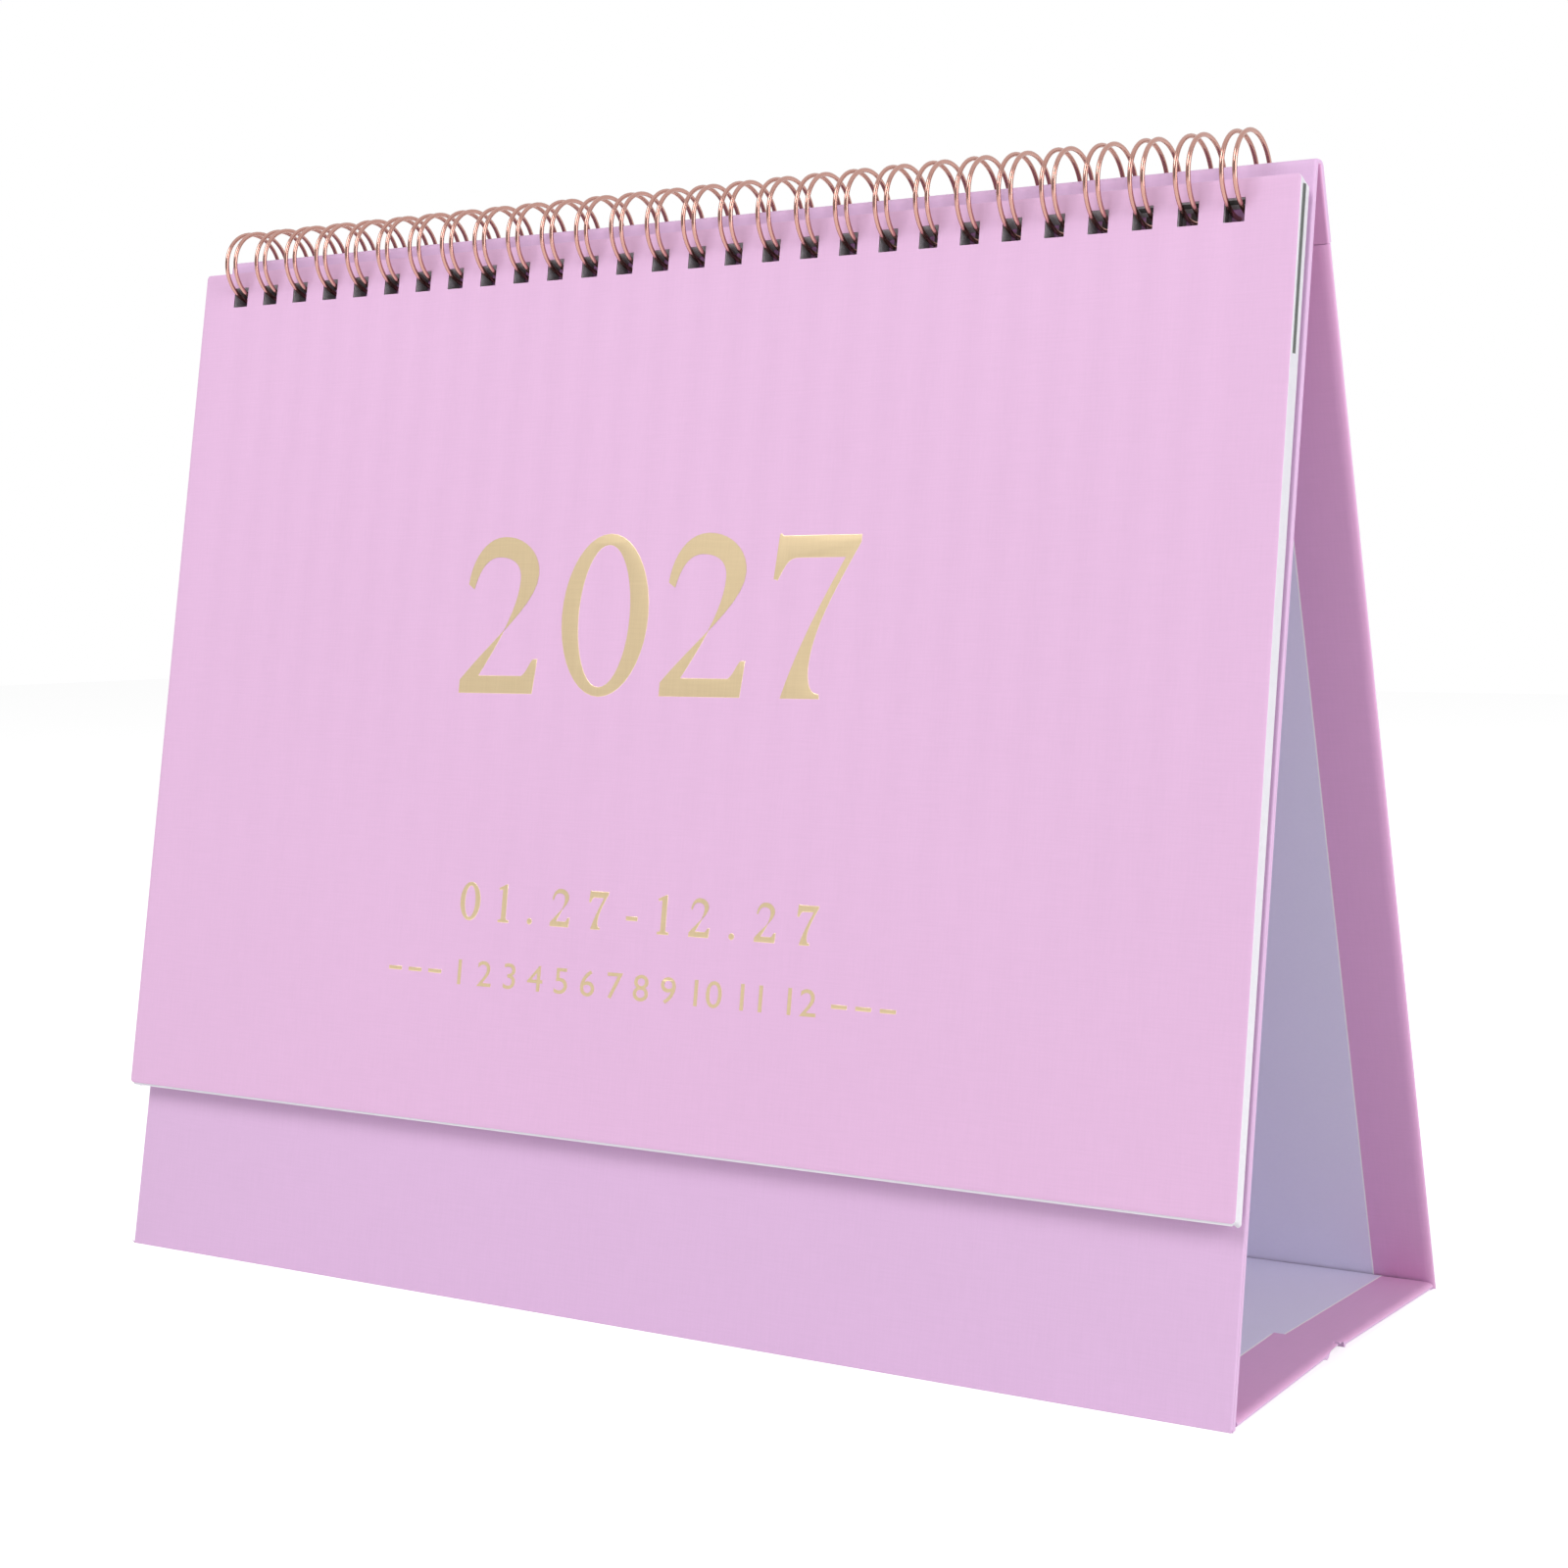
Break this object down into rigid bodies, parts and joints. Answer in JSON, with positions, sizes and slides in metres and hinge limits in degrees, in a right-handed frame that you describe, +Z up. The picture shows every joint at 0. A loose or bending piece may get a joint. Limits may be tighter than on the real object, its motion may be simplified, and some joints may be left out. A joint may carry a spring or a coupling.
{
  "type": "wire-bound desk calendar",
  "caption": "Desk calendar: punched month sheets and a cover on a twin-loop wire along the ridge of a folding, paper-wrapped board stand.",
  "frame": {"origin": "centre of the bounding box in plan, on the surface that the stand rests on", "axes": "+X along the calendar's length, to the reader's right; +Y to its back; +Z up"},
  "size_m": [0.251, 0.1038, 0.2158],
  "materials": {
    "pink_wrap": "linen-embossed matt paper",
    "pink_cover": "linen-embossed matt card with gold foil",
    "greyboard": "raw board",
    "white_lining": "smooth matt paper",
    "month_paper": "smooth coated paper",
    "rose_gold_wire": "polished rose-gold plating"
  },
  "bodies": {
    "front_panel": {"front_wrap": "pink_wrap", "front_board": "greyboard", "front_lining": "white_lining", "ridge_board": "greyboard", "binding_wire": "rose_gold_wire"},
    "cover": {"cover_sheet": "pink_cover"},
    "month_01": {"month_sheet_01": "month_paper"},
    "month_02": {"month_sheet_02": "month_paper"},
    "month_03": {"month_sheet_03": "month_paper"},
    "month_04": {"month_sheet_04": "month_paper"},
    "month_05": {"month_sheet_05": "month_paper"},
    "month_06": {"month_sheet_06": "month_paper"},
    "month_07": {"month_sheet_07": "month_paper"},
    "month_08": {"month_sheet_08": "month_paper"},
    "month_09": {"month_sheet_09": "month_paper"},
    "month_10": {"month_sheet_10": "month_paper"},
    "month_11": {"month_sheet_11": "month_paper"},
    "month_12": {"month_sheet_12": "month_paper"},
    "base_front": {"base_front_wrap": "pink_wrap", "base_front_board": "greyboard", "base_front_lining": "white_lining", "front_foot_fold": "pink_wrap"},
    "base_rear": {"base_rear_wrap": "pink_wrap", "base_rear_board": "greyboard", "base_rear_lining": "white_lining", "base_crease_fold": "pink_wrap"},
    "back_panel": {"back_wrap": "pink_wrap", "back_board": "greyboard", "back_lining": "white_lining", "rear_foot_fold": "pink_wrap"}
  },
  "joints": [
    {"name": "cover_turn", "type": "hinge", "parent": "front_panel", "child": "cover", "pos_m": [0, -0.0184, 0.2079], "axis": [-1, 0, 0], "range_deg": [0, 165]},
    {"name": "month_01_turn", "type": "hinge", "parent": "front_panel", "child": "month_01", "pos_m": [0, -0.0184, 0.2079], "axis": [-1, 0, 0], "range_deg": [0, 152.63]},
    {"name": "month_02_turn", "type": "hinge", "parent": "front_panel", "child": "month_02", "pos_m": [0, -0.0184, 0.2079], "axis": [-1, 0, 0], "range_deg": [0, 140.25]},
    {"name": "month_03_turn", "type": "hinge", "parent": "front_panel", "child": "month_03", "pos_m": [0, -0.0184, 0.2079], "axis": [-1, 0, 0], "range_deg": [0, 127.88]},
    {"name": "month_04_turn", "type": "hinge", "parent": "front_panel", "child": "month_04", "pos_m": [0, -0.0184, 0.2079], "axis": [-1, 0, 0], "range_deg": [0, 115.5]},
    {"name": "month_05_turn", "type": "hinge", "parent": "front_panel", "child": "month_05", "pos_m": [0, -0.0184, 0.2079], "axis": [-1, 0, 0], "range_deg": [0, 103.13]},
    {"name": "month_06_turn", "type": "hinge", "parent": "front_panel", "child": "month_06", "pos_m": [0, -0.0184, 0.2079], "axis": [-1, 0, 0], "range_deg": [0, 90.75]},
    {"name": "month_07_turn", "type": "hinge", "parent": "front_panel", "child": "month_07", "pos_m": [0, -0.0184, 0.2079], "axis": [-1, 0, 0], "range_deg": [0, 78.38]},
    {"name": "month_08_turn", "type": "hinge", "parent": "front_panel", "child": "month_08", "pos_m": [0, -0.0184, 0.2079], "axis": [-1, 0, 0], "range_deg": [0, 66]},
    {"name": "month_09_turn", "type": "hinge", "parent": "front_panel", "child": "month_09", "pos_m": [0, -0.0184, 0.2079], "axis": [-1, 0, 0], "range_deg": [0, 53.63]},
    {"name": "month_10_turn", "type": "hinge", "parent": "front_panel", "child": "month_10", "pos_m": [0, -0.0184, 0.2079], "axis": [-1, 0, 0], "range_deg": [0, 41.25]},
    {"name": "month_11_turn", "type": "hinge", "parent": "front_panel", "child": "month_11", "pos_m": [0, -0.0184, 0.2079], "axis": [-1, 0, 0], "range_deg": [0, 28.88]},
    {"name": "month_12_turn", "type": "hinge", "parent": "front_panel", "child": "month_12", "pos_m": [0, -0.0184, 0.2079], "axis": [-1, 0, 0], "range_deg": [0, 16.5]},
    {"name": "base_crease_turn", "type": "hinge", "parent": "base_front", "child": "base_rear", "pos_m": [0, -0.00279, 0.0012], "axis": [-1, 0, 0], "range_deg": [0, 176.12], "deforming": ["base_crease_fold"]},
    {"name": "front_foot_turn", "type": "hinge", "parent": "front_panel", "child": "base_front", "pos_m": [0, -0.05001, 0.00169], "axis": [1, 0, 0], "range_deg": [0, 78.24], "deforming": ["front_foot_fold"]},
    {"name": "rear_foot_turn", "type": "hinge", "parent": "base_rear", "child": "back_panel", "pos_m": [0, 0.04972, 0.00169], "axis": [1, 0, 0], "range_deg": [0, 70.46], "deforming": ["rear_foot_fold"]}
  ],
  "couplings": [
    {"joint": "month_01_turn", "follows": "cover_turn", "ratio": 0.925},
    {"joint": "month_02_turn", "follows": "cover_turn", "ratio": 0.85},
    {"joint": "month_03_turn", "follows": "cover_turn", "ratio": 0.775},
    {"joint": "month_04_turn", "follows": "cover_turn", "ratio": 0.7},
    {"joint": "month_05_turn", "follows": "cover_turn", "ratio": 0.625},
    {"joint": "month_06_turn", "follows": "cover_turn", "ratio": 0.55},
    {"joint": "month_07_turn", "follows": "cover_turn", "ratio": 0.475},
    {"joint": "month_08_turn", "follows": "cover_turn", "ratio": 0.4},
    {"joint": "month_09_turn", "follows": "cover_turn", "ratio": 0.325},
    {"joint": "month_10_turn", "follows": "cover_turn", "ratio": 0.25},
    {"joint": "month_11_turn", "follows": "cover_turn", "ratio": 0.175},
    {"joint": "month_12_turn", "follows": "cover_turn", "ratio": 0.1},
    {"joint": "front_foot_turn", "follows": "base_crease_turn", "ratio": 0.44423},
    {"joint": "rear_foot_turn", "follows": "base_crease_turn", "ratio": 0.40009}
  ]
}
